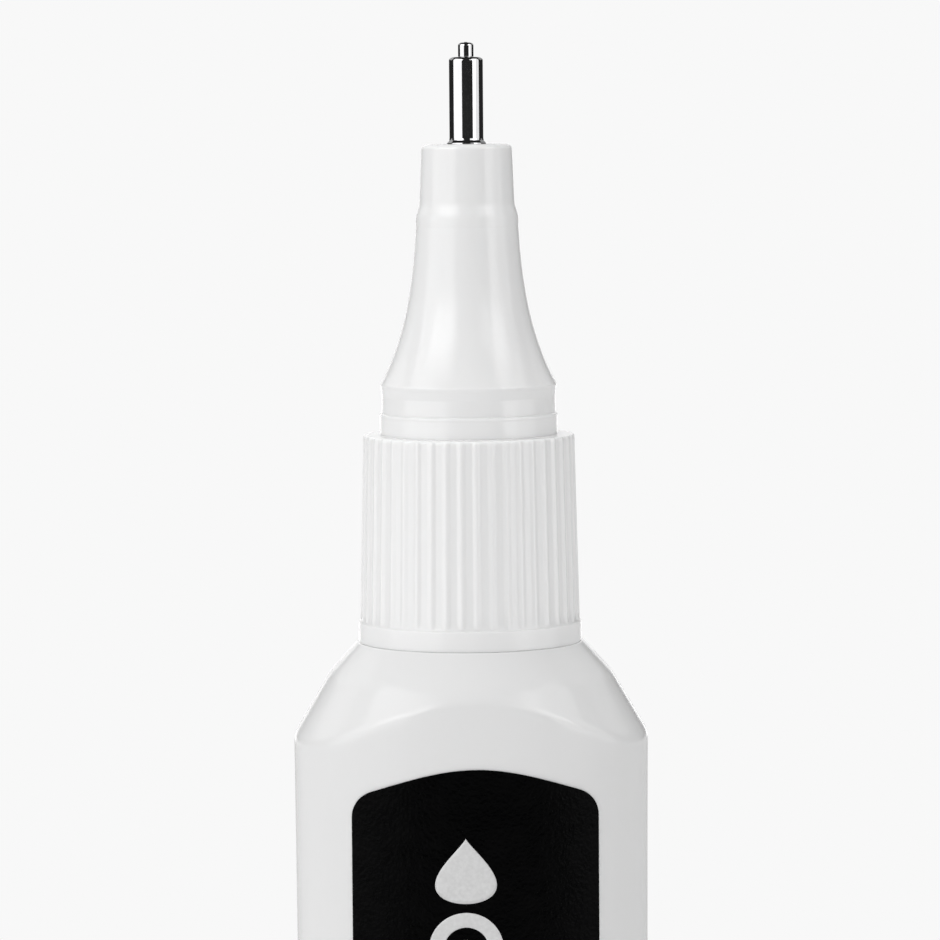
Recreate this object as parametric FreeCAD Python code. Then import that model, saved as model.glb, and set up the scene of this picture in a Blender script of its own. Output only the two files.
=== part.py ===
import FreeCAD, Part

import math
import os

# Glue applicator bottle: an oval squeeze bottle with a screw closure, a long nozzle and a
# metal tip that holds a spring-loaded needle valve. Millimetres. The origin is the centre of
# the base, +Z runs up the bottle's axis to the tip, +X across its wide side, and the front
# panel faces -Y.

# Bottle body: an oval column under a shoulder that is round about the axis
BODY_HALF_WIDTH = 17.75     # X
BODY_HALF_DEPTH = 14.85     # Y
OVAL_EXPONENT = 2.3         # 2 is an ellipse, larger is squarer
WAIST = 0.15                # how far the panels are drawn in at mid height
WAIST_Z = 38.0
COLUMN_TOP_Z = 90.0         # past the shoulder, which cuts it
WALL = 1.05
FLOOR = 1.5
HEEL_RADIUS = 3.0
CREASE_RADIUS = 2.4         # where the shoulder meets the oval
PUSH_UP_INSET = 5.6         # the raised middle of the base, in from the oval's edge
PUSH_UP_DEPTH = 1.1
PUSH_UP_RADIUS = 0.9

# Shoulder outline, as radius and height
SEAT_Z = 86.05              # flat ring under the closure's skirt
SEAT_RADIUS = 11.0
SHOULDER_KNEE = (14.1, 83.05)
SHOULDER_KNEE_BEND = 7.0
SHOULDER_FOOT = (20.0, 73.0)
SHOULDER_DROP = 1.8         # from the outer shoulder down to the inner one

# Neck and its thread
NECK_RADIUS = 7.85
NECK_BORE = 6.6
RIM_Z = 104.4
NECK_BEAD_RADIUS = 8.65
NECK_BEAD_Z = 88.6
NECK_BEAD_HEIGHT = 1.0
THREAD_PITCH = 3.175        # eight turns to the inch
THREAD_TURNS = 1.9
NECK_THREAD_Z = 95.4        # middle of the ridge where it starts
NECK_CREST = 8.85
RIDGE_ROOT_WIDTH = 1.45
RIDGE_CREST_WIDTH = 0.7
RIDGE_BURIED = 0.25         # how far a ridge is sunk into its wall

# Glue
FILL_Z = 80.0
FILL_GAP = 0.1              # from the bottle's inner wall

# Labels
LABEL_HALF_WIDTH = 12.05
LABEL_TOP_Z = 75.1
LABEL_BOTTOM_Z = 9.0
LABEL_RISE = 3.0            # middle of the top edge above its corners
LABEL_PULL = 1.5            # small values draw the arch out towards a tent
LABEL_CORNER = 2.8
LABEL_GAP = 0.01
LABEL_THICKNESS = 0.12

# Closure: skirt, ledge, overcap seat and nozzle in one moulding
SKIRT_BOTTOM_Z = 86.12
SKIRT_BORE = 9.05
SKIRT_ROOF_Z = 105.32
SKIRT_TOP_RADIUS = 10.58
SKIRT_LOW_RADIUS = 11.0     # at the lower end of the ribs
CAP_CREST = 8.1             # inner edge of the thread ridge in the skirt
BAND_RADIUS = 11.16         # plain band under the ribs
BAND_TOP_Z = 88.2
LEDGE_Z = 106.8
RIB_COUNT = 44
RIB_GROOVE_WIDTH = 0.5
RIB_GROOVE_DEPTH = 0.16
RIB_TURN = -2.0             # degrees, from X to the first groove
SEAT_BAND_RADIUS = 8.86     # the overcap slides over this band
SEAT_BAND_TOP_Z = 108.85
SNAP_NECK_RADIUS = 8.67
SNAP_BEAD_RADIUS = 8.8
SNAP_BEAD_Z = 111.75
NOZZLE_TOP_Z = 135.73
NOZZLE_TOP_RADIUS = 4.5
NOZZLE_STEP_Z = 129.75
NOZZLE_STEP_RADIUS = 4.74
NOZZLE_RING_RADIUS = 5.12
NOZZLE_RING_Z = 127.8
CONE_TOP = (5.17, 126.7)
CONE_PULL = (5.6, 118.1)    # control point of the trumpet curve
CONE_BASE = (8.66, 112.1)
CAVITY_BASE_RADIUS = 7.3
CAVITY_STRAIGHT_Z = 111.0
CAVITY_PULL = (4.35, 117.4)
CAVITY_TOP = (3.7, 125.2)
CAVITY_ROOF_Z = 126.2

# Sealing wad between the rim and the closure's roof
LINER_GAP = 0.02
LINER_OUTER = 8.75
LINER_INNER = 6.2

# Metal tip and the valve inside it
SLEEVE_RADIUS = 1.70
SLEEVE_STEM_RADIUS = 1.5    # the part pressed into the nozzle
SLEEVE_BORE = 1.2
SLEEVE_BOTTOM_Z = 127.6
SLEEVE_TOP_Z = 144.35
SLEEVE_END_WALL = 1.5
FOOT_RADIUS = 1.95
FOOT_HEIGHT = 0.42
TUBE_RADIUS = 0.775
TUBE_STEM_RADIUS = 0.6      # the part pressed into the sleeve's end
TUBE_BORE = 0.38
TUBE_BOTTOM_Z = 142.2
TUBE_TOP_Z = 145.78
NEEDLE_RADIUS = 0.30
NEEDLE_PROUD = 0.06         # how far the needle stands out of the tube at rest
NEEDLE_BOTTOM_Z = 139.2
VALVE_GAP = 0.02            # from a moving face to the face it rests on
PLUNGER_RADIUS = 1.05
PLUNGER_NOSE_RADIUS = 0.6
PLUNGER_NOSE_HEIGHT = 0.85
PLUNGER_SHOULDER_Z = 139.6
PLUNGER_STEM_RADIUS = 0.55
PLUNGER_STEM_BOTTOM_Z = 138.2
FLUTE_RADIUS = 0.32
FLUTE_COUNT = 3
SPRING_RADIUS = 0.95        # to the middle of the wire
SPRING_WIRE_RADIUS = 0.12
SPRING_WIRE_SIDES = 12      # the wire's section is a regular polygon
SPRING_TURNS = 9
RETAINER_TOP_Z = 130.5
RETAINER_FLANGE_RADIUS = 1.42
RETAINER_FLANGE_HEIGHT = 0.7
RETAINER_BORE = 0.45


def vector(radius, z):
    return FreeCAD.Vector(radius, 0, z)


def corner_arc(before, corner, after, radius):
    """The start, the middle and the end of the arc that rounds a corner."""
    towards_before = (before - corner).normalize()
    towards_after = (after - corner).normalize()
    half_angle = towards_before.getAngle(towards_after) / 2
    cut = radius / math.tan(half_angle)
    bisector = (towards_before + towards_after).normalize()
    middle = corner + bisector * (radius / math.sin(half_angle) - radius)
    return corner + towards_before * cut, middle, corner + towards_after * cut


def rounded_path(corners):
    """Edges through (x, z) or (x, z, radius) corners, with each radius as a tangent arc."""
    points = [FreeCAD.Vector(corner[0], 0, corner[1]) for corner in corners]
    edges = []
    here = points[0]
    for index in range(1, len(points)):
        radius = corners[index][2] if len(corners[index]) == 3 else 0
        if radius == 0:
            edges.append(Part.makeLine(here, points[index]))
            here = points[index]
            continue
        start, middle, end = corner_arc(points[index - 1], points[index], points[index + 1], radius)
        edges.append(Part.makeLine(here, start))
        edges.append(Part.Arc(start, middle, end).toShape())
        here = end
    return edges


def bezier(*poles):
    curve = Part.BezierCurve()
    curve.setPoles([vector(*pole) for pole in poles])
    return curve.toShape()


def revolve(edges):
    """Turns a closed outline in the XZ plane about the axis into a solid."""
    face = Part.Face(Part.Wire(edges))
    solid = face.revolve(FreeCAD.Vector(0, 0, 0), FreeCAD.Vector(0, 0, 1), 360)
    return solid if solid.Volume > 0 else solid.reversed()


def revolve_corners(corners):
    return revolve(rounded_path(corners + [corners[0][:2]]))


def cylinder(radius, bottom, top, x=0.0):
    return Part.makeCylinder(radius, top - bottom, FreeCAD.Vector(x, 0, bottom))


def ring_of(tool, count, turn=0.0):
    """Copies of a tool, evenly round the axis."""
    copies = []
    for index in range(count):
        copy = tool.copy()
        copy.rotate(FreeCAD.Vector(0, 0, 0), FreeCAD.Vector(0, 0, 1), turn + 360.0 * index / count)
        copies.append(copy)
    return copies


def helical_ridge(wall_radius, crest_radius, start_z):
    """A trapezoid thread ridge that stands out of a wall towards its crest."""
    inward = 1 if crest_radius > wall_radius else -1
    root = wall_radius - inward * RIDGE_BURIED
    profile = Part.makePolygon([
        vector(root, -RIDGE_ROOT_WIDTH / 2),
        vector(crest_radius, -RIDGE_CREST_WIDTH / 2),
        vector(crest_radius, RIDGE_CREST_WIDTH / 2),
        vector(root, RIDGE_ROOT_WIDTH / 2),
        vector(root, -RIDGE_ROOT_WIDTH / 2),
    ])
    spine = Part.makeHelix(THREAD_PITCH, THREAD_PITCH * THREAD_TURNS, wall_radius)
    ridge = Part.Wire(spine).makePipeShell([profile], True, True)
    ridge.translate(FreeCAD.Vector(0, 0, start_z))
    return ridge


def oval(grow, z):
    """The body's section at a height: a closed superellipse, larger by grow all round."""
    drawn_in = WAIST * (1 - ((z - WAIST_Z) / WAIST_Z) ** 2)
    half_width = BODY_HALF_WIDTH - drawn_in + grow
    half_depth = BODY_HALF_DEPTH - drawn_in + grow
    power = 2 / OVAL_EXPONENT
    points = []
    for step in range(40):
        angle = math.radians(9 * step)
        across = math.copysign(abs(math.cos(angle)) ** power, math.cos(angle))
        along = math.copysign(abs(math.sin(angle)) ** power, math.sin(angle))
        points.append(FreeCAD.Vector(half_width * across, half_depth * along, z))
    curve = Part.BSplineCurve()
    curve.interpolate(Points=points, PeriodicFlag=True)
    return Part.Wire(curve.toShape())


def oval_column(grow, bottom):
    levels = (bottom, WAIST_Z, COLUMN_TOP_Z)
    return Part.makeLoft([oval(grow, z) for z in levels], True, False)


def shoulder_solid(bottom, drop):
    """The round shoulder, lowered by drop, filled down to a height."""
    return revolve_corners([
        (0, bottom),
        (0, SEAT_Z - drop),
        (SEAT_RADIUS, SEAT_Z - drop),
        (SHOULDER_KNEE[0], SHOULDER_KNEE[1] - drop, SHOULDER_KNEE_BEND),
        (SHOULDER_FOOT[0], SHOULDER_FOOT[1] - drop),
        (SHOULDER_FOOT[0], bottom),
    ])


def edges_near(shape, test):
    return [edge for edge in shape.Edges if test(edge)]


def body_solid():
    """Outer form: the oval column cut by the shoulder, with its crease and heel rounded."""
    body = oval_column(0, 0).common(shoulder_solid(0, 0))
    crease = edges_near(body, lambda edge: is_crease(edge.BoundBox))
    body = body.makeFillet(CREASE_RADIUS, crease)
    heel = edges_near(body, lambda edge: edge.BoundBox.ZMax < 0.1)
    return body.makeFillet(HEEL_RADIUS, heel)


def is_crease(box):
    return box.ZMin > 60 and box.ZMax < SHOULDER_KNEE[1] and box.ZLength > 1


def push_up():
    """The raised middle of the base, as the space under it."""
    recess = Part.Face(oval(-PUSH_UP_INSET, 0)).extrude(FreeCAD.Vector(0, 0, PUSH_UP_DEPTH))
    rim = edges_near(recess, lambda edge: edge.BoundBox.ZMin > PUSH_UP_DEPTH / 2)
    return recess.makeFillet(PUSH_UP_RADIUS, rim)


def cavity(inset, top):
    """The space inside the bottle's walls, up to a height."""
    floor_z = PUSH_UP_DEPTH + FLOOR + inset - WALL
    space = oval_column(-inset, floor_z).common(shoulder_solid(floor_z, SHOULDER_DROP + inset - WALL))
    return space.common(cylinder(30, floor_z, top))


def neck_solid():
    bead_top = NECK_BEAD_Z + NECK_BEAD_HEIGHT
    return revolve_corners([
        (0, SEAT_Z - 1),
        (NECK_RADIUS, SEAT_Z - 1),
        (NECK_RADIUS, NECK_BEAD_Z),
        (NECK_BEAD_RADIUS, NECK_BEAD_Z + 0.3),
        (NECK_BEAD_RADIUS, bead_top - 0.3),
        (NECK_RADIUS, bead_top),
        (NECK_RADIUS, RIM_Z, 0.3),
        (0, RIM_Z),
    ])


def bottle():
    outside = body_solid().fuse(neck_solid())
    outside = outside.fuse(helical_ridge(NECK_RADIUS, NECK_CREST, NECK_THREAD_Z))
    inside = cavity(WALL, COLUMN_TOP_Z).fuse(cylinder(NECK_BORE, FILL_Z, RIM_Z + 1))
    return outside.cut(inside).cut(push_up()).removeSplitter()


def glue_fill():
    return cavity(WALL + FILL_GAP, FILL_Z)


def label_outline():
    """The label's flat outline in the XZ plane: arched top and bottom, straight sides."""
    side = LABEL_HALF_WIDTH
    upper = LABEL_TOP_Z - LABEL_RISE
    lower = LABEL_BOTTOM_Z + LABEL_RISE
    high = upper + LABEL_RISE * 4 / 3
    low = lower - LABEL_RISE * 4 / 3
    return Part.Face(Part.Wire([
        bezier((-side, upper), (-LABEL_PULL, high), (LABEL_PULL, high), (side, upper)),
        Part.makeLine(vector(side, upper), vector(side, lower)),
        bezier((side, lower), (LABEL_PULL, low), (-LABEL_PULL, low), (-side, lower)),
        Part.makeLine(vector(-side, lower), vector(-side, upper)),
    ]))


def label(facing):
    """A film on the front (-1) or back (+1) panel."""
    film = oval_column(LABEL_GAP + LABEL_THICKNESS, 0).cut(oval_column(LABEL_GAP, 0))
    block = label_outline().extrude(FreeCAD.Vector(0, facing * 30, 0))
    corners = edges_near(block, lambda edge: edge.BoundBox.YLength > 29)
    return film.common(block.makeFillet(LABEL_CORNER, corners))


def closure_blank():
    """Skirt, ledge, overcap seat and hollow nozzle, round about the axis."""
    outer_lower = [
        (*CONE_BASE,),
        (SNAP_BEAD_RADIUS, SNAP_BEAD_Z, 0.15),
        (SNAP_NECK_RADIUS, SNAP_BEAD_Z - 1.1, 0.3),
        (SNAP_NECK_RADIUS, SEAT_BAND_TOP_Z + 0.12),
        (SEAT_BAND_RADIUS, SEAT_BAND_TOP_Z),
        (SEAT_BAND_RADIUS, LEDGE_Z),
        (SKIRT_TOP_RADIUS, LEDGE_Z, 0.25),
        (SKIRT_LOW_RADIUS, BAND_TOP_Z + 0.1),
        (BAND_RADIUS, BAND_TOP_Z - 0.1, 0.1),
        (BAND_RADIUS, SKIRT_BOTTOM_Z + 0.25),
        (BAND_RADIUS - 0.25, SKIRT_BOTTOM_Z),
        (SKIRT_BORE + 0.3, SKIRT_BOTTOM_Z),
        (SKIRT_BORE, SKIRT_BOTTOM_Z + 0.3),
        (SKIRT_BORE, SKIRT_ROOF_Z),
        (CAVITY_BASE_RADIUS, SKIRT_ROOF_Z),
        (CAVITY_BASE_RADIUS, CAVITY_STRAIGHT_Z),
    ]
    outer_upper = [
        (*CAVITY_TOP,),
        (CAVITY_TOP[0], CAVITY_ROOF_Z, 0.5),
        (SLEEVE_STEM_RADIUS, CAVITY_ROOF_Z),
        (SLEEVE_STEM_RADIUS, NOZZLE_TOP_Z),
        (NOZZLE_TOP_RADIUS, NOZZLE_TOP_Z, 0.4),
        (NOZZLE_STEP_RADIUS, NOZZLE_STEP_Z),
        (NOZZLE_RING_RADIUS, NOZZLE_STEP_Z - 1.15, 0.8),
        (NOZZLE_RING_RADIUS, NOZZLE_RING_Z),
        (NOZZLE_RING_RADIUS - 0.03, NOZZLE_RING_Z - 0.3),
        (*CONE_TOP,),
    ]
    edges = rounded_path(outer_lower)
    edges.append(bezier((CAVITY_BASE_RADIUS, CAVITY_STRAIGHT_Z), CAVITY_PULL, CAVITY_TOP))
    edges += rounded_path(outer_upper)
    edges.append(bezier(CONE_TOP, CONE_PULL, CONE_BASE))
    return revolve(edges)


def rib_groove():
    """One groove between two ribs, which follows the skirt's taper."""
    outside = 2
    profile = Part.makePolygon([
        vector(SKIRT_TOP_RADIUS - RIB_GROOVE_DEPTH, LEDGE_Z + 0.1),
        vector(SKIRT_LOW_RADIUS - RIB_GROOVE_DEPTH, BAND_TOP_Z),
        vector(SKIRT_LOW_RADIUS + outside, BAND_TOP_Z),
        vector(SKIRT_LOW_RADIUS + outside, LEDGE_Z + 0.1),
        vector(SKIRT_TOP_RADIUS - RIB_GROOVE_DEPTH, LEDGE_Z + 0.1),
    ])
    groove = Part.Face(profile).extrude(FreeCAD.Vector(0, RIB_GROOVE_WIDTH, 0))
    groove.translate(FreeCAD.Vector(0, -RIB_GROOVE_WIDTH / 2, 0))
    return groove


def nozzle_cap():
    cap = closure_blank().cut(ring_of(rib_groove(), RIB_COUNT, RIB_TURN))
    return cap.fuse(helical_ridge(SKIRT_BORE, CAP_CREST, NECK_THREAD_Z - THREAD_PITCH / 2))


def cap_liner():
    bottom = RIM_Z + LINER_GAP
    top = SKIRT_ROOF_Z - LINER_GAP
    return cylinder(LINER_OUTER, bottom, top).cut(cylinder(LINER_INNER, bottom, top))


def tip_sleeve():
    return revolve_corners([
        (SLEEVE_BORE, SLEEVE_BOTTOM_Z),
        (SLEEVE_BORE, SLEEVE_TOP_Z - SLEEVE_END_WALL),
        (TUBE_STEM_RADIUS, SLEEVE_TOP_Z - SLEEVE_END_WALL),
        (TUBE_STEM_RADIUS, SLEEVE_TOP_Z),
        (SLEEVE_RADIUS, SLEEVE_TOP_Z, 0.35),
        (SLEEVE_RADIUS, NOZZLE_TOP_Z + FOOT_HEIGHT),
        (FOOT_RADIUS, NOZZLE_TOP_Z),
        (SLEEVE_STEM_RADIUS, NOZZLE_TOP_Z),
        (SLEEVE_STEM_RADIUS, SLEEVE_BOTTOM_Z),
    ])


def tip_tube():
    return revolve_corners([
        (TUBE_BORE, TUBE_BOTTOM_Z),
        (TUBE_BORE, TUBE_TOP_Z),
        (TUBE_RADIUS, TUBE_TOP_Z, 0.3),
        (TUBE_RADIUS, SLEEVE_TOP_Z),
        (TUBE_STEM_RADIUS, SLEEVE_TOP_Z),
        (TUBE_STEM_RADIUS, TUBE_BOTTOM_Z),
    ])


def valve_needle():
    return revolve_corners([
        (0, NEEDLE_BOTTOM_Z),
        (NEEDLE_RADIUS, NEEDLE_BOTTOM_Z),
        (NEEDLE_RADIUS, TUBE_TOP_Z + NEEDLE_PROUD, 0.2),
        (0, TUBE_TOP_Z + NEEDLE_PROUD),
    ])


def needle_plunger():
    """Head on the needle: its cone closes the tube, and flutes along it let glue past."""
    nose_top = TUBE_BOTTOM_Z - VALVE_GAP
    head = revolve_corners([
        (0, PLUNGER_STEM_BOTTOM_Z),
        (PLUNGER_STEM_RADIUS, PLUNGER_STEM_BOTTOM_Z),
        (PLUNGER_STEM_RADIUS, PLUNGER_SHOULDER_Z),
        (PLUNGER_RADIUS, PLUNGER_SHOULDER_Z),
        (PLUNGER_RADIUS, nose_top - PLUNGER_NOSE_HEIGHT),
        (PLUNGER_NOSE_RADIUS, nose_top),
        (0, nose_top),
    ])
    flute = cylinder(FLUTE_RADIUS, PLUNGER_SHOULDER_Z, nose_top, x=PLUNGER_RADIUS)
    bore = cylinder(NEEDLE_RADIUS, NEEDLE_BOTTOM_Z, nose_top)
    return head.cut(ring_of(flute, FLUTE_COUNT) + [bore])


def return_spring():
    bottom = RETAINER_TOP_Z + VALVE_GAP + SPRING_WIRE_RADIUS
    top = PLUNGER_SHOULDER_Z - VALVE_GAP - SPRING_WIRE_RADIUS
    spine = Part.makeHelix((top - bottom) / SPRING_TURNS, top - bottom, SPRING_RADIUS)
    corners = []
    for side in range(SPRING_WIRE_SIDES + 1):
        angle = 2 * math.pi * side / SPRING_WIRE_SIDES
        corners.append(vector(
            SPRING_RADIUS + SPRING_WIRE_RADIUS * math.cos(angle), SPRING_WIRE_RADIUS * math.sin(angle)))
    section = Part.makePolygon(corners)
    coil = Part.Wire(spine).makePipeShell([section], True, True)
    coil.translate(FreeCAD.Vector(0, 0, bottom))
    return coil


def spring_retainer():
    """Plug in the sleeve's lower end; its bore and flutes let the glue in."""
    bottom = SLEEVE_BOTTOM_Z - RETAINER_FLANGE_HEIGHT
    plug = cylinder(RETAINER_FLANGE_RADIUS, bottom, SLEEVE_BOTTOM_Z)
    plug = plug.fuse(cylinder(SLEEVE_BORE, SLEEVE_BOTTOM_Z, RETAINER_TOP_Z))
    flute = cylinder(FLUTE_RADIUS, bottom, RETAINER_TOP_Z, x=SLEEVE_BORE)
    return plug.cut(ring_of(flute, FLUTE_COUNT) + [cylinder(RETAINER_BORE, bottom, RETAINER_TOP_Z)])


PIECES = {
    "bottle": bottle,
    "glue_fill": glue_fill,
    "front_label": lambda: label(-1),
    "back_label": lambda: label(1),
    "cap_liner": cap_liner,
    "nozzle_cap": nozzle_cap,
    "tip_sleeve": tip_sleeve,
    "tip_tube": tip_tube,
    "valve_needle": valve_needle,
    "needle_plunger": needle_plunger,
    "return_spring": return_spring,
    "spring_retainer": spring_retainer,
}

os.makedirs("parts", exist_ok=True)
for name, make in PIECES.items():
    shape = make()
    print(name, "solids", len(shape.Solids), "valid", shape.isValid(), "volume", round(shape.Volume, 2))
    shape.exportStep(os.path.join("parts", name + ".step"))
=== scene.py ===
import math

import bmesh
import bpy
from mathutils import Matrix, Vector


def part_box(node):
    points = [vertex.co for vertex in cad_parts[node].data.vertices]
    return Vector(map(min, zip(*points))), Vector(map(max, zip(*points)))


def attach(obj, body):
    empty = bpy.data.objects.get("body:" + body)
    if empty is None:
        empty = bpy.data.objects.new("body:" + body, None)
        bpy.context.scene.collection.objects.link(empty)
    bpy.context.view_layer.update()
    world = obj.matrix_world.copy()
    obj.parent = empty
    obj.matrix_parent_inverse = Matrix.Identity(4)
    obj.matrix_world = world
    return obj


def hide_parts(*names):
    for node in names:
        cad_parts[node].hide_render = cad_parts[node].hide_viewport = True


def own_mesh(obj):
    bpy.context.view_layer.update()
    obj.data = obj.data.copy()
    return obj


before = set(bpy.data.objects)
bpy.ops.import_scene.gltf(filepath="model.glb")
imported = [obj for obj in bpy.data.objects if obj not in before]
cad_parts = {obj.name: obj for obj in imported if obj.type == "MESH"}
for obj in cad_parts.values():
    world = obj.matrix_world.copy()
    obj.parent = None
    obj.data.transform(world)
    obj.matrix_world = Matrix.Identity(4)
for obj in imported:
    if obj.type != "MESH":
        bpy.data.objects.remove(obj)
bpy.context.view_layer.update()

# Looks of the glue applicator bottle. Lengths below are millimetres in the frame's own axes,
# and MM turns them into Blender's metres. The front panel faces -Y.

MM = 0.001
TURN = 2 * math.pi

# Bottle
HALF_WIDTH = 17.717         # the parting line stands out to 17.75
HALF_DEPTH = 14.85
OVAL = 2.3                  # superellipse exponent of the body's section
WAIST = 0.15
WAIST_Z = 38.0
WALL = 1.05
HEEL = 3.0
CREASE = 0.32               # how widely the shoulder and the oval melt together
SHOULDER_DROP = 1.8
SEAT_Z = 86.11              # close under the skirt's foot
LIP_RADIUS = 11.3
PARTING_HEIGHT = 0.03
PARTING_WIDTH = 0.09
PINCH_HEIGHT = 0.16
PINCH_WIDTH = 0.16
NECK_RADIUS = 7.85
NECK_BORE = 6.6
RIM_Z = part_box("bottle")[1].z / MM
FLOOR_Z = 2.6
PUSH_UP = 1.1
FILL_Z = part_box("glue_fill")[1].z / MM

# Thread
PITCH = 3.175
THREAD_TURNS = 1.9
NECK_THREAD_Z = 95.4
NECK_CREST = 1.0
SKIRT_CREST = 0.95

# Closure
RIBS = 44
RIB_DEPTH = 0.145
RIB_TURN = math.radians(-2.0)
SKIRT_BORE = 9.05
FOOT_RADIUS = 11.16
RIB_LOW_RADIUS = 11.0
RIB_HIGH_RADIUS = 10.58
RIB_TOP_ROUND = 0.22
SKIRT_LOW_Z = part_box("nozzle_cap")[0].z / MM
NOZZLE_TOP_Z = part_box("nozzle_cap")[1].z / MM
ROOF_Z = 105.32
LEDGE_Z = 106.8
RIB_LOW_Z = 88.3
SLEEVE = 1.70

# Label
LABEL_HALF = 12.05
LABEL_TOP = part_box("front_label")[1].z / MM
LABEL_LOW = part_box("front_label")[0].z / MM
LABEL_RISE = 3.0
LABEL_PULL = 1.5
LABEL_CORNER = 2.8
FILM_UNDER = 0.01
FILM_TOP = 0.128
INK_UNDER = FILM_TOP - 0.02
INK_TOP = FILM_TOP + 0.022


# ---------------------------------------------------------------- mesh building

def rounded(corners, steps=7):
    """Points through (radius, height) corners; a third value rounds that corner."""
    points = [Vector(corners[0][:2])]
    for index in range(1, len(corners) - 1):
        here = Vector(corners[index][:2])
        if len(corners[index]) < 3:
            points.append(here)
            continue
        size = corners[index][2]
        back = (Vector(corners[index - 1][:2]) - here).normalized()
        ahead = (Vector(corners[index + 1][:2]) - here).normalized()
        half = back.angle(ahead) / 2
        centre = here + (back + ahead).normalized() * (size / math.sin(half))
        start = here + back * (size / math.tan(half)) - centre
        end = here + ahead * (size / math.tan(half)) - centre
        sweep = start.angle(end)
        for step in range(steps + 1):
            share = step / steps
            point = start * math.sin((1 - share) * sweep) + end * math.sin(share * sweep)
            points.append(centre + point / math.sin(sweep))
    points.append(Vector(corners[-1][:2]))
    return points


def braced(points, longest=0.6, brace=0.06):
    """Adds a point near each end of a long run, so that smooth shading stays off its middle."""
    result = [points[0]]
    for before, after in zip(points, points[1:]):
        run = after - before
        if run.length > longest:
            result.append(before + run.normalized() * brace)
            result.append(after - run.normalized() * brace)
        result.append(after)
    return result


def bezier(start, pull, end, steps=18):
    points = []
    for step in range(steps + 1):
        t = step / steps
        point = Vector(start) * (1 - t) ** 2 + Vector(pull) * 2 * t * (1 - t) + Vector(end) * t ** 2
        points.append(point)
    return points


def spaced(low, high, spacing):
    """Values from low to high, about spacing apart."""
    count = max(1, round(abs(high - low) / spacing))
    return [low + (high - low) * step / count for step in range(count + 1)]


def skin(name, rows, wrap=True, loop=False):
    """A mesh over rows of points, in millimetres. A row of one point is a pole.

    wrap joins each row's two ends, and loop joins the last row to the first."""
    vertices = []
    indices = []
    for row in rows:
        indices.append(range(len(vertices), len(vertices) + len(row)))
        vertices.extend(point * MM for point in row)
    pairs = list(zip(indices, indices[1:]))
    if loop:
        pairs.append((indices[-1], indices[0]))
    faces = []
    for lower, upper in pairs:
        width = max(len(lower), len(upper))
        for column in range(width if wrap else width - 1):
            after = (column + 1) % width
            if len(lower) == 1:
                faces.append((lower[0], upper[after], upper[column]))
            elif len(upper) == 1:
                faces.append((lower[column], lower[after], upper[0]))
            else:
                faces.append((lower[column], lower[after], upper[after], upper[column]))
    mesh = bpy.data.meshes.new(name)
    mesh.from_pydata(vertices, [], faces)
    return finish_mesh(name, mesh)


def finish_mesh(name, mesh):
    work = bmesh.new()
    work.from_mesh(mesh)
    bmesh.ops.remove_doubles(work, verts=work.verts, dist=1e-8)
    bmesh.ops.recalc_face_normals(work, faces=work.faces)
    for face in work.faces:
        face.smooth = True
    work.to_mesh(mesh)
    work.free()
    piece = bpy.data.objects.new(name, mesh)
    bpy.context.scene.collection.objects.link(piece)
    return piece


def ring(radius, z, columns):
    """Points round the axis; radius is a number or a function of the angle and the height."""
    points = []
    for angle in columns:
        here = radius(angle, z) if callable(radius) else radius
        points.append(Vector((here * math.cos(angle), here * math.sin(angle), z)))
    return points


def even_columns(count):
    return [TURN * step / count for step in range(count)]


def lathe_rows(profile, columns):
    """Rings for (radius, height) points; a point on the axis becomes a pole."""
    rows = []
    for radius, z in profile:
        rows.append([Vector((0, 0, z))] if radius < 1e-6 else ring(radius, z, columns))
    return rows


def lathe(name, profile, count=96, loop=False):
    return skin(name, lathe_rows(profile, even_columns(count)), loop=loop)


def dress(piece, body, slot, material, *nodes):
    """Gives a piece its material and body, and hides the CAD nodes that it stands for. The slot argument is
    not used.
    """
    piece.data.materials.append(material)
    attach(piece, body)
    if nodes:
        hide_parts(*nodes)
    return piece


def smooth_step(low, high, value):
    share = min(max((value - low) / (high - low), 0), 1)
    return share * share * (3 - 2 * share)


def soft_min(first, second, width):
    blend = max(width - abs(first - second), 0) / width
    return min(first, second) - blend * blend * width / 4


# ---------------------------------------------------------------- materials

def new_material(name):
    material = bpy.data.materials.new(name)
    material.use_nodes = True
    return material, material.node_tree.nodes, material.node_tree.links


def object_noise(nodes, links, scale, detail=2.0, stretch=None):
    """Noise in the frame's own coordinates, so that it stays on the piece."""
    place = nodes.new("ShaderNodeTexCoord")
    noise = nodes.new("ShaderNodeTexNoise")
    noise.inputs["Scale"].default_value = scale
    noise.inputs["Detail"].default_value = detail
    source = place.outputs["Object"]
    if stretch:
        mapping = nodes.new("ShaderNodeMapping")
        mapping.inputs["Scale"].default_value = stretch
        links.new(source, mapping.inputs["Vector"])
        source = mapping.outputs["Vector"]
    links.new(source, noise.inputs["Vector"])
    return noise.outputs["Fac"]


def ranged(nodes, links, value, low, high, start=0.3, end=0.7):
    """Spreads a noise value over a range."""
    spread = nodes.new("ShaderNodeMapRange")
    spread.inputs["From Min"].default_value = start
    spread.inputs["From Max"].default_value = end
    spread.inputs["To Min"].default_value = low
    spread.inputs["To Max"].default_value = high
    links.new(value, spread.inputs["Value"])
    return spread.outputs["Result"]


def mixed_colour(nodes, links, value, first, second):
    blend = nodes.new("ShaderNodeMix")
    blend.data_type = "RGBA"
    blend.inputs["A"].default_value = (*first, 1)
    blend.inputs["B"].default_value = (*second, 1)
    links.new(value, blend.inputs["Factor"])
    return blend.outputs["Result"]


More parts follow.
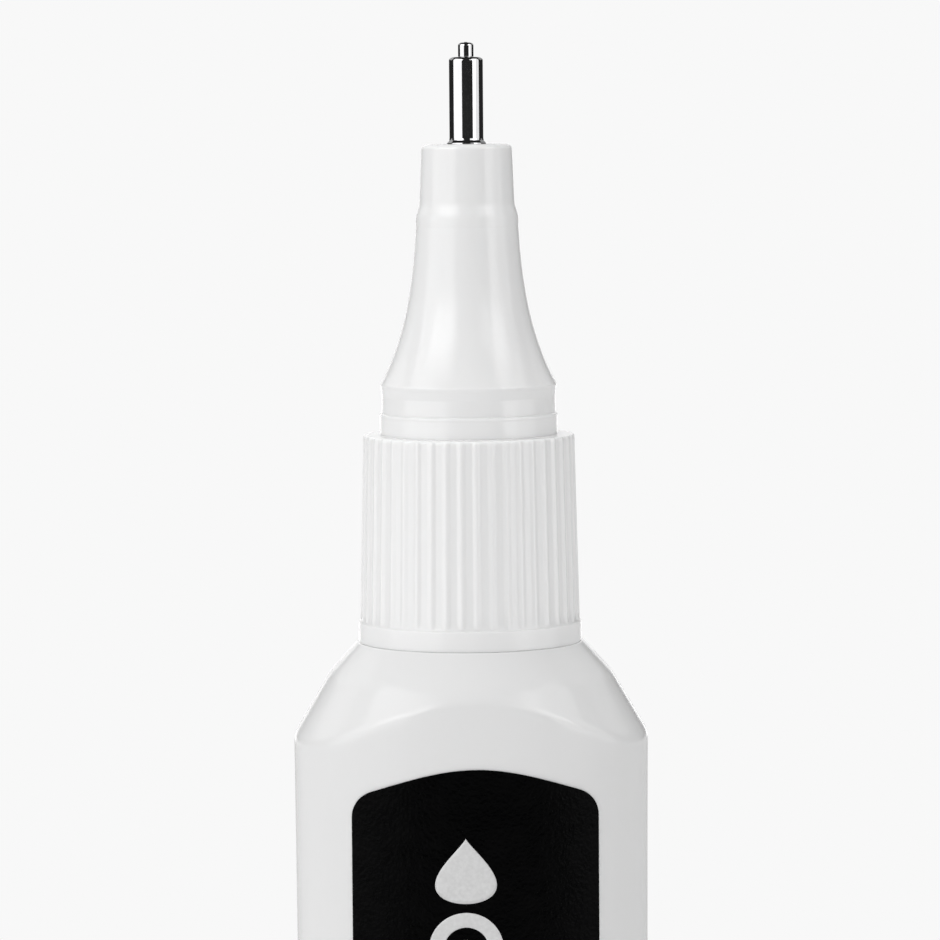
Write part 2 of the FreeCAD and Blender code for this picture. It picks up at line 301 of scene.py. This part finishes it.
def add_bump(nodes, links, shader, heights):
    """Chains (height value, strength, distance in metres) bumps into the shader's normal."""
    previous = None
    for value, strength, distance in heights:
        bump = nodes.new("ShaderNodeBump")
        bump.inputs["Strength"].default_value = strength
        bump.inputs["Distance"].default_value = distance
        links.new(value, bump.inputs["Height"])
        if previous:
            links.new(previous, bump.inputs["Normal"])
        previous = bump.outputs["Normal"]
    links.new(previous, shader.inputs["Normal"])


def set_inputs(shader, **values):
    for key, value in values.items():
        shader.inputs[key.replace("_", " ")].default_value = value


def plastic(name, first, second, rough, scatter, grain, grain_scale, ior=1.5):
    """Translucent white plastic: cloudy colour, satin gloss and a fine moulded surface."""
    material, nodes, links = new_material(name)
    shader = nodes["Principled BSDF"]
    set_inputs(shader, Subsurface_Weight=scatter, Subsurface_Scale=0.0003, IOR=ior)
    shader.inputs["Subsurface Radius"].default_value = (1.0, 0.99, 0.98)
    cloud = object_noise(nodes, links, 60, 3)
    tone = mixed_colour(nodes, links, ranged(nodes, links, cloud, 0, 1), first, second)
    links.new(tone, shader.inputs["Base Color"])
    smear = object_noise(nodes, links, 160, 4)
    links.new(ranged(nodes, links, smear, rough[0], rough[1]), shader.inputs["Roughness"])
    fine = object_noise(nodes, links, grain_scale, 2)
    broad = object_noise(nodes, links, 190, 1)
    add_bump(nodes, links, shader, [(broad, 0.25, 0.00005), (fine, grain, 0.00001)])
    return material


def polished_steel(name, tone, rough, lines):
    """Turned steel: fine marks round the axis and a slightly uneven polish."""
    material, nodes, links = new_material(name)
    shader = nodes["Principled BSDF"]
    set_inputs(shader, Metallic=1.0)
    smudge = object_noise(nodes, links, 900, 3)
    light = tuple(channel * 1.06 for channel in tone)
    colour = mixed_colour(nodes, links, ranged(nodes, links, smudge, 0, 1), tone, light)
    links.new(colour, shader.inputs["Base Color"])
    links.new(ranged(nodes, links, smudge, rough[0], rough[1]), shader.inputs["Roughness"])
    marks = object_noise(nodes, links, 1, 2, stretch=(300, 300, 24000))
    add_bump(nodes, links, shader, [(marks, lines, 0.000004)])
    return material


def label_film(name):
    """Matt black film with a fine pressed grain."""
    material, nodes, links = new_material(name)
    shader = nodes["Principled BSDF"]
    set_inputs(shader, IOR=1.45, Specular_IOR_Level=0.05)
    cloud = object_noise(nodes, links, 500, 4)
    black = mixed_colour(nodes, links, ranged(nodes, links, cloud, 0, 1),
                         (0.0003, 0.0003, 0.0004), (0.0011, 0.0011, 0.0012))
    links.new(black, shader.inputs["Base Color"])
    links.new(ranged(nodes, links, cloud, 0.24, 0.32), shader.inputs["Roughness"])
    grain = object_noise(nodes, links, 3600, 3)
    pebble = object_noise(nodes, links, 2400, 2)
    add_bump(nodes, links, shader, [(pebble, 0.9, 0.00012), (grain, 0.5, 0.00002)])
    return material


def print_ink(name):
    """Light grey screen print over the film's grain."""
    material, nodes, links = new_material(name)
    shader = nodes["Principled BSDF"]
    speckle = object_noise(nodes, links, 2600, 3)
    grey = mixed_colour(nodes, links, ranged(nodes, links, speckle, 0, 1),
                        (0.66, 0.66, 0.66), (0.74, 0.74, 0.74))
    links.new(grey, shader.inputs["Base Color"])
    links.new(ranged(nodes, links, speckle, 0.5, 0.62), shader.inputs["Roughness"])
    grain = object_noise(nodes, links, 3600, 3)
    add_bump(nodes, links, shader, [(grain, 0.35, 0.00002)])
    return material


bottle_plastic = plastic(
    "bottle_plastic", (0.85, 0.85, 0.85), (0.855, 0.855, 0.855), (0.12, 0.145), 1.0, 0.12, 1900)
cap_plastic = plastic(
    "cap_plastic", (0.90, 0.90, 0.90), (0.905, 0.905, 0.905), (0.15, 0.18), 1.0, 0.1, 2600, ior=1.58)
valve_plastic = plastic(
    "valve_plastic", (0.80, 0.79, 0.76), (0.84, 0.83, 0.80), (0.38, 0.46), 0.2, 0.3, 9000)
liner_foam = plastic(
    "liner_foam", (0.84, 0.85, 0.86), (0.90, 0.90, 0.91), (0.55, 0.7), 0.3, 0.8, 5200)
glue_white = plastic(
    "glue_white", (0.87, 0.865, 0.84), (0.90, 0.895, 0.87), (0.06, 0.1), 0.6, 0.02, 600)
tip_steel = polished_steel("tip_steel", (0.76, 0.76, 0.77), (0.04, 0.07), 0.12)
spring_steel = polished_steel("spring_steel", (0.62, 0.62, 0.63), (0.16, 0.24), 0.1)
film = label_film("label_film")
ink = print_ink("label_ink")


# ---------------------------------------------------------------- bottle

def body_columns():
    """Angles round the body, with extra ones at the mould's parting line on both sides."""
    near_line = (0.2, 0.4, 0.65, 1.0)
    angles = set(round(1.5 * step, 3) for step in range(240))
    for side in (0, 180):
        for offset in near_line:
            angles.add((side + offset) % 360)
            angles.add((side - offset) % 360)
    return [math.radians(angle) for angle in sorted(angles)]


COLUMNS = body_columns()


def oval_radius(angle, z, inset):
    """Distance from the axis to the body's oval wall, drawn in at the waist."""
    drawn_in = WAIST * (1 - ((z - WAIST_Z) / WAIST_Z) ** 2) + inset
    across = abs(math.cos(angle)) / (HALF_WIDTH - drawn_in)
    along = abs(math.sin(angle)) / (HALF_DEPTH - drawn_in)
    return (across ** OVAL + along ** OVAL) ** (-1 / OVAL)


def parting_line(angle, radius):
    """The mould's parting line: a hair-fine ridge on both narrow sides."""
    off_line = radius * math.sin(angle)
    return PARTING_HEIGHT * math.exp(-(off_line / PARTING_WIDTH) ** 2)


def body_ring(z, inset=0.0, shoulder=1000.0, line=1.0):
    def radius(angle, height):
        wall = soft_min(oval_radius(angle, height, inset), shoulder, CREASE)
        return wall + line * parting_line(angle, wall)
    return ring(radius, z, COLUMNS)


def shoulder_profile(drop, inner_radius):
    """(radius, height) points of the round shoulder, from its middle outwards and down."""
    path = rounded([
        (inner_radius, SEAT_Z - drop),
        (LIP_RADIUS, SEAT_Z - drop, 0.25),
        (14.1, 83.05 - drop, 7.0),
        (20.0, 73.0 - drop),
    ], steps=14)
    dense = []
    for before, after in zip(path, path[1:]):
        for step in spaced(0, 1, 0.3 / max((after - before).length, 1e-6))[:-1]:
            dense.append(before.lerp(after, step))
    return dense


def thread_height(angle, z, start_z, crest, reach=0.72, flat=0.34):
    """Height of a helical ridge over its wall, faded out at both ends."""
    height = 0.0
    for lap in range(2):
        turns = angle / TURN + lap
        off_middle = abs(z - start_z - turns * PITCH)
        ends = smooth_step(0, 0.05, turns) * smooth_step(0, 0.05, THREAD_TURNS - turns)
        height = max(height, crest * ends * (1 - smooth_step(flat, reach, off_middle)))
    return height


def neck_rows():
    """The neck's outside from the rim down to the shoulder's flat seat."""
    rows = lathe_rows(rounded([
        (NECK_BORE, RIM_Z - 1.0), (NECK_BORE, RIM_Z, 0.25), (NECK_RADIUS, RIM_Z, 0.3), (NECK_RADIUS, 103.6),
    ]), COLUMNS)
    for z in spaced(103.4, 94.3, 0.13):
        rows.append(ring(lambda angle, height: NECK_RADIUS + thread_height(
            angle, height, NECK_THREAD_Z, NECK_CREST), z, COLUMNS))
    low = rounded([
        (NECK_RADIUS, 94.0), (NECK_RADIUS, 89.6, 0.2), (8.65, 89.3, 0.12), (8.65, 88.9, 0.12),
        (NECK_RADIUS, 88.6, 0.2), (NECK_RADIUS, SEAT_Z, 0.5), (8.8, SEAT_Z),
    ])
    return rows + lathe_rows(braced(low), COLUMNS)


def base_rows():
    """The base from the raised middle's centre out to the standing ring, then up the heel."""
    rows = [[Vector((0, 0, PUSH_UP))]]
    for share in (0.15, 0.35, 0.6, 0.85):
        middle = [point * share for point in body_ring(0, inset=6.6, line=0)]
        for point in middle:
            point.z = PUSH_UP - pinch_off(point)
        rows.append(middle)
    recess = rounded([(7.4, PUSH_UP), (5.6, PUSH_UP, 0.8), (5.6, 0, 0.25), (3.9, 0)])
    for inset, z in recess[1:]:
        rows.append(level(body_ring(0, inset=inset, line=0), z))
    for step in range(11):
        lean = math.radians(9 * step)
        inset = HEEL * (1 - math.sin(lean))
        rows.append(level(body_ring(0, inset=inset, line=step / 10), HEEL * (1 - math.cos(lean))))
    return rows


def level(points, z):
    for point in points:
        point.z = z
    return points


def pinch_off(point):
    """The welded seam that the mould leaves across the raised middle."""
    ends = smooth_step(0, 1.5, 9.5 - abs(point.x))
    return PINCH_HEIGHT * math.exp(-(point.y / PINCH_WIDTH) ** 2) * ends


def wall_rows(inset, low, drop):
    """The wall from a height up to the shoulder, then in to the seat."""
    profile = shoulder_profile(drop, 9.1 if drop == 0 else NECK_BORE + 0.5)
    top = profile[-1].y
    rows = [body_ring(z, inset) for z in spaced(low, top - 0.5, 2.2)]
    for radius, z in reversed(profile):
        rows.append(body_ring(z, inset, shoulder=radius, line=smooth_step(10.5, 13, radius)))
    return rows


def inner_floor_rows(inset, bottom, bend=2.0):
    """The inside of the base from its centre out and up the rounded corner."""
    rows = [[Vector((0, 0, bottom))]]
    for share in (0.3, 0.7):
        rows.append(level([point * share for point in body_ring(0, inset=inset + bend)], bottom))
    for step in range(7):
        lean = math.radians(15 * step)
        here = inset + bend * (1 - math.sin(lean))
        rows.append(level(body_ring(0, inset=here, line=0), bottom + bend * (1 - math.cos(lean))))
    return rows


def make_bottle():
    outside = base_rows() + wall_rows(0, HEEL + 1.2, 0) + neck_rows()[::-1]
    bore = [ring(NECK_BORE, z, COLUMNS) for z in (RIM_Z - 1.2, 98, 92, 86, SEAT_Z - SHOULDER_DROP + 0.4)]
    inside = inner_floor_rows(WALL, FLOOR_Z) + wall_rows(WALL, FLOOR_Z + 3.0, SHOULDER_DROP)
    return skin("bottle_shell", outside + bore + inside[::-1])


def make_glue():
    """The glue up to its level, where it clings to the wall."""
    inset = WALL + 0.08
    rows = inner_floor_rows(inset, FLOOR_Z + 0.08) + [
        body_ring(z, inset, line=0) for z in spaced(FLOOR_Z + 3.0, 74, 3)]
    dome = [point for point in reversed(shoulder_profile(SHOULDER_DROP + 0.1, 9)) if 74 < point.y < FILL_Z]
    rows += [body_ring(z, inset, shoulder=radius, line=0) for radius, z in dome]
    rim = rows[-1]
    for share, fall in ((0.985, 0.12), (0.95, 0.35), (0.88, 0.45), (0.5, 0.5)):
        rows.append(level([point * share for point in rim], FILL_Z - fall))
    rows.append([Vector((0, 0, FILL_Z - 0.5))])
    return skin("glue", rows)


# ---------------------------------------------------------------- closure

def rib_columns():
    """Angles round the skirt, gathered at the edges of each rib."""
    marks = (-0.32, -0.25, -0.19, -0.13, -0.07, 0, 0.07, 0.13, 0.19, 0.25, 0.32, 0.41, 0.5, 0.59)
    return [RIB_TURN + TURN * (rib + 0.5 + mark) / RIBS for rib in range(RIBS) for mark in marks]


CAP_COLUMNS = rib_columns()


def groove(angle):
    """0 on a rib's flat, 1 at the bottom of the groove between two ribs."""
    off_groove = abs(((angle - RIB_TURN) / TURN * RIBS + 0.5) % 1 - 0.5)
    return 1 - smooth_step(0.17, 0.5, off_groove)


def ribbed_ring(radius, z, depth):
    return ring(lambda angle, height: radius - depth * groove(angle), z, CAP_COLUMNS)


def skirt_rows():
    """The skirt's outside from its lower edge up to the ledge."""
    low = rounded([
        (SKIRT_BORE + 0.35, SKIRT_LOW_Z), (11.155, SKIRT_LOW_Z, 0.015),
        (FOOT_RADIUS, RIB_LOW_Z - 0.2, 0.1), (RIB_LOW_RADIUS, RIB_LOW_Z - 0.08)])
    rows = lathe_rows(braced(low), CAP_COLUMNS)
    for share in (0, 0.012, 0.035, 0.07, 0.2, 0.4, 0.6, 0.8, 0.93, 0.975, 0.99):
        z = RIB_LOW_Z + (LEDGE_Z - 0.25 - RIB_LOW_Z) * share
        radius = RIB_LOW_RADIUS + (RIB_HIGH_RADIUS - RIB_LOW_RADIUS) * share
        rows.append(ribbed_ring(radius, z, RIB_DEPTH * smooth_step(-0.01, 0.03, share)))
    for lean in (20, 45, 70, 90):
        turn = math.radians(lean)
        radius = RIB_HIGH_RADIUS - RIB_TOP_ROUND * (1 - math.cos(turn))
        z = LEDGE_Z - RIB_TOP_ROUND + RIB_TOP_ROUND * math.sin(turn)
        rows.append(ribbed_ring(radius, z, RIB_DEPTH))
    rows.append(ribbed_ring(10.1, LEDGE_Z, RIB_DEPTH * 0.15))
    return rows


def nozzle_rows():
    """From the ledge over the overcap's seat and snap bead, up the trumpet to the nozzle's top."""
    seat = rounded([
        (10.0, LEDGE_Z), (8.87, LEDGE_Z, 0.15), (8.86, 108.6, 0.06), (8.9, 108.72, 0.06),
        (8.9, 108.9, 0.1), (8.71, 109.02, 0.08), (8.67, 110.62, 0.08), (8.76, 111.5, 0.3),
        (8.84, 111.85, 0.22), (8.5, 112.42)])
    trumpet = bezier((8.5, 112.42), (5.66, 117.9), (5.17, 126.7), steps=22)
    top = rounded([
        (5.17, 126.7), (5.1, 127.5, 0.9), (5.12, 128.6, 3.0), (4.74, 129.8, 3.0),
        (4.51, NOZZLE_TOP_Z, 0.5), (SLEEVE + 0.1, NOZZLE_TOP_Z, 0.06),
        (SLEEVE - 0.2, NOZZLE_TOP_Z - 0.1, 0.05), (SLEEVE - 0.2, 126.3, 0.15), (3.0, 126.25)])
    return lathe_rows(braced(seat)[:-1] + trumpet + braced(top)[1:], CAP_COLUMNS)


def inner_rows():
    """The nozzle's hollow, the roof over the liner and the threaded skirt, down to the lower edge."""
    hollow = rounded([(3.0, 126.25), (3.7, 126.2, 0.4), (3.7, 125.2)])[1:]
    hollow += bezier((3.7, 125.0), (4.35, 117.4), (7.3, 111.0), steps=12)
    hollow += rounded([(7.3, 110.6), (7.3, ROOF_Z, 0.3), (SKIRT_BORE, ROOF_Z, 0.2), (SKIRT_BORE, 104.0)])
    rows = lathe_rows(braced(hollow), CAP_COLUMNS)
    for z in spaced(102.0, 92.6, 0.19):
        rows.append(ring(lambda angle, height: SKIRT_BORE - thread_height(
            angle % TURN, height, NECK_THREAD_Z - PITCH / 2, SKIRT_CREST), z, CAP_COLUMNS))
    rows += lathe_rows(rounded([(SKIRT_BORE, 92.3), (SKIRT_BORE, SKIRT_LOW_Z + 0.35, 0.2),
                                (SKIRT_BORE + 0.35, SKIRT_LOW_Z)])[:-1], CAP_COLUMNS)
    return rows


def make_cap():
    return skin("nozzle_closure", skirt_rows() + nozzle_rows() + inner_rows(), loop=True)


# ---------------------------------------------------------------- metal tip and valve

def make_sleeve():
    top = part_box("tip_sleeve")[1].z / MM
    return lathe("tip_sleeve_turned", braced(rounded([
        (1.2, 136.0), (1.2, top - 1.5, 0.05), (0.6, top - 1.5, 0.04), (0.6, top - 0.03),
        (0.9, top, 0.05), (SLEEVE, top, 0.36), (SLEEVE, 136.3, 0.12), (1.74, 136.12, 0.05),
        (1.95, NOZZLE_TOP_Z + 0.12, 0.05), (1.97, NOZZLE_TOP_Z, 0.03), (1.5, NOZZLE_TOP_Z, 0.03),
        (1.5, 127.6, 0.08), (1.2, 127.6, 0.05), (1.2, 136.0)], steps=6), brace=0.04)[:-1], loop=True)


def make_tube():
    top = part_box("tip_tube")[1].z / MM
    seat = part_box("tip_sleeve")[1].z / MM
    return lathe("tip_tube_drawn", braced(rounded([
        (0.38, 143.5), (0.38, top, 0.06), (0.775, top, 0.3), (0.775, seat + 0.02, 0.04),
        (0.6, seat, 0.03), (0.6, 142.2, 0.06), (0.38, 142.2, 0.04), (0.38, 143.5)], steps=6),
        brace=0.04)[:-1], count=64, loop=True)


def make_needle():
    low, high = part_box("valve_needle")
    bottom, top = low.z / MM, high.z / MM
    return lathe("valve_needle_pin", braced(rounded([
        (0, bottom), (0.3, bottom, 0.05), (0.3, top, 0.22), (0, top)], steps=6)), count=48)


def make_spring():
    """A compression spring with both end turns closed."""
    low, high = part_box("return_spring")
    wire = 0.12
    middle = 0.95
    bottom, top = low.z / MM + wire, high.z / MM - wire
    closed = 1.1
    turns = 10.0
    steps = 320
    sides = 12
    rows = []
    for step in range(steps + 1):
        turn = turns * step / steps
        lift = smooth_step(closed * 0.6, closed * 1.6, turn)
        end_rise = 2 * wire * min(turn, closed) / closed
        end_rise += 2 * wire * max(turn - (turns - closed), 0) / closed
        open_share = min(max((turn - closed) / (turns - 2 * closed), 0), 1)
        z = bottom + end_rise + (top - bottom - 4 * wire) * open_share
        angle = turn * TURN
        outward = Vector((math.cos(angle), math.sin(angle), 0))
        centre = outward * middle + Vector((0, 0, z))
        section = []
        for side in range(sides):
            around = TURN * side / sides
            rise = Vector((0, 0, wire * math.sin(around)))
            section.append(centre + outward * wire * math.cos(around) + rise)
        if step == 0:
            rows.append([centre])
        rows.append(section)
        if step == steps:
            rows.append([centre])
    return skin("return_spring_coil", rows)


# ---------------------------------------------------------------- labels

def label_edge():
    """(distance across, fall from the middle) along half of the arched edge and round its corner."""
    points = []
    for step in range(25):
        share = 0.84 * step / 24
        across = share * (LABEL_HALF * (3 + share ** 2) + 3 * LABEL_PULL * (1 - share ** 2)) / 4
        points.append((across, LABEL_RISE * share ** 2))
    corner = [(LABEL_HALF, LABEL_RISE, LABEL_CORNER), (LABEL_HALF, LABEL_RISE + 9)]
    return rounded(points + corner, steps=12)[:-1]


def on_body(x, z, lift, facing):
    """The point of the front (-1) or back (+1) panel at x and z, lifted off the wall."""
    drawn_in = WAIST * (1 - ((z - WAIST_Z) / WAIST_Z) ** 2)
    wide = HALF_WIDTH - drawn_in
    deep = HALF_DEPTH - drawn_in
    share = abs(x) / wide
    y = deep * (1 - share ** OVAL) ** (1 / OVAL)
    normal = Vector((math.copysign(share ** (OVAL - 1) / wide, x), (y / deep) ** (OVAL - 1) / deep, 0))
    point = Vector((x, y, z)) + normal.normalized() * lift
    point.y *= facing
    point.x *= -facing
    return point


def make_film(name, facing):
    right = label_edge()
    columns = [(-across, fall) for across, fall in reversed(right[1:])] + [tuple(point) for point in right]

    def edge_ring(share, under, over):
        points = []
        for lift, order in ((over, columns), (under, reversed(columns))):
            for x, fall in order:
                low = LABEL_LOW + fall
                points.append(on_body(x, low + (LABEL_TOP - fall - low) * share, lift, facing))
        return points

    middle = (FILM_UNDER + FILM_TOP) / 2
    rows = [edge_ring(0, middle, middle)]
    for share in [0.0003] + spaced(0.0012, 0.9988, 0.02) + [0.9997]:
        rows.append(edge_ring(share, FILM_UNDER, FILM_TOP))
    rows.append(edge_ring(1, middle, middle))
    return skin(name, rows)


def stamp(name, outline, inner=None, ring_shaped=False, facing=-1):
    """A thin printed shape on the label. outline and inner are lists of (x, z).

    inner is the spine that the outline is filled in from, or the hole of a ring."""
    centre = Vector((sum(x for x, z in outline), sum(z for x, z in outline))) / len(outline)
    rows = []
    for lift, shares in ((INK_TOP, spaced(0, 1, 0.125)), (INK_UNDER, spaced(1, 0, 0.125))):
        for share in shares:
            if share == 0 and not inner:
                rows.append([on_body(centre.x, centre.y, lift, facing)])
                continue
            points = []
            for near, far in zip(inner or [centre] * len(outline), outline):
                flat = Vector(near).lerp(Vector(far), share)
                points.append(on_body(flat.x, flat.y, lift, facing))
            rows.append(points)
    return skin(name, rows, loop=ring_shaped)


def circle(x, z, radius, count=72):
    return [(x + radius * math.cos(TURN * k / count), z + radius * math.sin(TURN * k / count))
            for k in range(count)]


def drop_outline(x, z, half_width, height, count=96):
    """A drop with its point up, round a centre halfway up."""
    points = []
    for step in range(count):
        turn = TURN * step / count
        across = half_width / 0.702 * math.sin(turn) * math.sin(turn / 2) ** 1.5
        points.append((x - across, z + height / 2 * math.cos(turn)))
    return points


def bar(name, x, z, half_width, half_height, facing):
    """A printed bar with round ends, filled in from its spine."""
    reach = half_width - half_height
    edge = [(reach + half_height * math.cos(turn), half_height * math.sin(turn))
            for turn in spaced(-math.pi / 2, math.pi / 2, 0.2)]
    run = [(along, half_height) for along in spaced(reach, -reach, 0.3)[1:-1]]
    half = edge + run
    outline = half + [(-across, -up) for across, up in half]
    spine = [(min(max(across, -reach), reach), 0) for across, up in outline]
    return stamp(name, [(x + across, z + up) for across, up in outline],
                 [(x + across, z + up) for across, up in spine], facing=facing)


def print_front():
    """Generic print: a drop, a ring round a dot for the fine tip, and plain bars."""
    x = -1.05
    ring_z = 57.4
    shapes = [
        stamp("print_drop", drop_outline(x, 65.15, 3.0, 6.45)),
        stamp("print_ring", circle(x, ring_z, 3.65), circle(x, ring_z, 2.2), ring_shaped=True),
        stamp("print_dot", circle(x, ring_z, 0.95, 40)),
    ]
    for index, half in enumerate((4.6, 4.6, 3.4)):
        shapes.append(bar("print_bar_%d" % (index + 1), x, 30 - 3.2 * index, half, 0.55, -1))
    return shapes


def print_back():
    shapes = [stamp("back_print_drop", drop_outline(0, 65.0, 2.3, 5.4), facing=1)]
    for index, half in enumerate((7.5, 7.5, 6.8, 7.5, 5.2)):
        shapes.append(bar("back_print_bar_%d" % (index + 1), half - 7.5, 54 - 2.6 * index, half, 0.4, 1))
    return shapes


# ---------------------------------------------------------------- the pieces in place

dress(make_bottle(), "bottle", "bottle_plastic", bottle_plastic, "bottle")
dress(make_glue(), "bottle", "glue", glue_white, "glue_fill")
dress(make_film("front_label_film", -1), "bottle", "label_film", film, "front_label")
dress(make_film("back_label_film", 1), "bottle", "label_film", film, "back_label")
for shape in print_front() + print_back():
    dress(shape, "bottle", "label_ink", ink)
dress(make_cap(), "cap", "cap_plastic", cap_plastic, "nozzle_cap")
dress(make_sleeve(), "cap", "tip_steel", tip_steel, "tip_sleeve")
dress(make_tube(), "cap", "tip_steel", tip_steel, "tip_tube")
dress(make_needle(), "needle", "tip_steel", spring_steel, "valve_needle")
spring = dress(make_spring(), "cap", "tip_steel", spring_steel, "return_spring")
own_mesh(spring)

for node, material in (("cap_liner", liner_foam), ("needle_plunger", valve_plastic),
                       ("spring_retainer", valve_plastic)):
    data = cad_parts[node].data
    data.materials.clear()
    data.materials.append(material)


# ---------------------------------------------------------------- stage, lights and camera

BACKGROUND = 0.939          # linear tone of the pale surroundings
FLOOR_GLOW = 0.85           # what the floor lends to the light round the object
FLOOR_MIRRORED = 0.55       # and what shiny surfaces mirror of it
ROOM_FILL = 0.364           # the same two for the room
ROOM_MIRRORED = 0.02
FLOOR_FADE = (0.05, 0.24)   # metres from the middle between which the floor turns into glow
CAMERA_TURN = math.radians(-1.75)
CAMERA_TILT = math.radians(4.6)
CAMERA_ROLL = math.radians(-0.447)
CAMERA_DISTANCE = 0.470
LOOK_AT = Vector((0.0001, 0, 0.1032))


def make_camera():
    data = bpy.data.cameras.new("camera")
    data.lens = 180
    data.sensor_width = 36
    data.clip_start = 0.01
    camera = bpy.data.objects.new("camera", data)
    bpy.context.scene.collection.objects.link(camera)
    flat = Vector((-math.sin(CAMERA_TURN), math.cos(CAMERA_TURN), 0))
    view = flat * math.cos(CAMERA_TILT) - Vector((0, 0, math.sin(CAMERA_TILT)))
    turn = view.to_track_quat("-Z", "Y").to_matrix() @ Matrix.Rotation(CAMERA_ROLL, 3, "Z")
    camera.matrix_world = Matrix.Translation(LOOK_AT - view * CAMERA_DISTANCE) @ turn.to_4x4()
    bpy.context.scene.camera = camera


def panel(name, azimuth, height, distance, width, tall, radiance, lights, aim_height=None):
    """A lit panel, upright unless it is aimed. Azimuth 0 is at the camera's side and 90 on its right.

    lights is "gloss" for one that only shows in shiny surfaces, or "diffuse" for one that never does."""
    data = bpy.data.lights.new(name, "AREA")
    data.shape = "RECTANGLE"
    data.size = width
    data.size_y = tall
    data.energy = radiance * math.pi * width * tall
    light = bpy.data.objects.new(name, data)
    bpy.context.scene.collection.objects.link(light)
    turn = math.radians(azimuth)
    outward = Vector((math.sin(turn), -math.cos(turn), 0))
    place = outward * distance + Vector((0, 0, height))
    aim = Vector((0, 0, height if aim_height is None else aim_height)) - place
    light.matrix_world = Matrix.Translation(place) @ aim.to_track_quat("-Z", "Y").to_matrix().to_4x4()
    light.visible_glossy = lights == "gloss"
    light.visible_diffuse = lights == "diffuse"
    light.visible_camera = False


def seen_strength(nodes, links, lighting, mirrored):
    """BACKGROUND to the eye, and other strengths for the light it gives and for its mirror image."""
    rays = nodes.new("ShaderNodeLightPath")
    unseen = ranged(nodes, links, rays.outputs["Is Glossy Ray"], lighting, mirrored, start=0, end=1)
    strength = nodes.new("ShaderNodeMix")
    strength.inputs["B"].default_value = BACKGROUND
    links.new(rays.outputs["Is Camera Ray"], strength.inputs["Factor"])
    links.new(unseen, strength.inputs["A"])
    return strength.outputs["Result"]


def make_floor():
    """A pale round floor: it takes shadow near the object and fades into the surroundings."""
    rows = [[Vector((0, 0, -0.1))]]
    for radius in (30, 60, 90, 130, 200, 400, 900, 2500):
        rows.append(ring(radius, -0.1, even_columns(96)))
    floor = skin("floor", rows)
    material, nodes, links = new_material("floor")
    shader = nodes["Principled BSDF"]
    set_inputs(shader, Roughness=0.85)
    speck = object_noise(nodes, links, 300, 3)
    links.new(mixed_colour(nodes, links, speck, (0.80, 0.80, 0.80), (0.82, 0.82, 0.82)),
              shader.inputs["Base Color"])
    glow = nodes.new("ShaderNodeEmission")
    glow.inputs["Color"].default_value = (1, 1, 1, 1)
    links.new(seen_strength(nodes, links, FLOOR_GLOW, FLOOR_MIRRORED), glow.inputs["Strength"])
    place = nodes.new("ShaderNodeTexCoord")
    length = nodes.new("ShaderNodeVectorMath")
    length.operation = "LENGTH"
    links.new(place.outputs["Object"], length.inputs[0])
    fade = ranged(nodes, links, length.outputs["Value"], 0, 1, *FLOOR_FADE)
    blend = nodes.new("ShaderNodeMixShader")
    links.new(fade, blend.inputs["Fac"])
    links.new(shader.outputs["BSDF"], blend.inputs[1])
    links.new(glow.outputs["Emission"], blend.inputs[2])
    links.new(blend.outputs["Shader"], nodes["Material Output"].inputs["Surface"])
    floor.data.materials.append(material)


def make_surroundings():
    """A pale backdrop to the eye, a soft fill light, and a dark room to anything that mirrors it."""
    world = bpy.data.worlds.new("surroundings")
    world.use_nodes = True
    nodes, links = world.node_tree.nodes, world.node_tree.links
    room = nodes["Background"]
    room.inputs["Color"].default_value = (1, 1, 1, 1)
    links.new(seen_strength(nodes, links, ROOM_FILL, ROOM_MIRRORED), room.inputs["Strength"])
    bpy.context.scene.world = world


make_camera()
make_floor()
make_surroundings()

# name, azimuth, height, distance, width, height of the panel, radiance, where it shows, aim height
panel("left_inner_softbox", -46, 0.37, 0.62, 0.356, 0.86, 1.25, "gloss")
panel("left_outer_softbox", -78, 0.37, 0.62, 0.356, 0.86, 1.3, "gloss")
panel("right_inner_softbox", 55, 0.37, 0.62, 0.241, 0.86, 1.7, "gloss")
panel("right_outer_softbox", 80, 0.37, 0.62, 0.309, 0.86, 0.95, "gloss")
panel("left_high_softbox", -46, 0.375, 0.52, 0.46, 0.17, 1.7, "gloss", 0.09)
panel("right_high_softbox", 48, 0.375, 0.52, 0.46, 0.17, 1.2, "gloss", 0.09)
panel("rear_softbox", 180, 0.18, 0.62, 0.42, 0.46, 0.9, "gloss")
panel("rear_left_high_softbox", -140, 0.43, 0.62, 0.65, 0.35, 0.42, "gloss", 0.1)
panel("rear_right_high_softbox", 140, 0.43, 0.62, 0.65, 0.35, 0.3, "gloss", 0.1)
panel("left_light", -62, 0.37, 0.62, 0.72, 0.86, 0.95, "diffuse", 0.09)
panel("front_light", 0, 0.25, 0.9, 0.6, 0.6, 0.58, "diffuse", 0.09)
panel("front_right_light", 45, 0.35, 0.9, 0.6, 0.6, 0.48, "diffuse", 0.09)
panel("rear_left_light", -145, 0.3, 0.9, 0.8, 0.9, 1.15, "diffuse", 0.09)
panel("rear_right_light", 145, 0.3, 0.9, 0.8, 0.9, 0.75, "diffuse", 0.09)
panel("top_light", 0, 1.0, 0.05, 1.0, 1.0, 1.42, "diffuse", 0.09)

bpy.context.scene.view_settings.view_transform = "Standard"
bpy.context.scene.view_settings.look = "None"
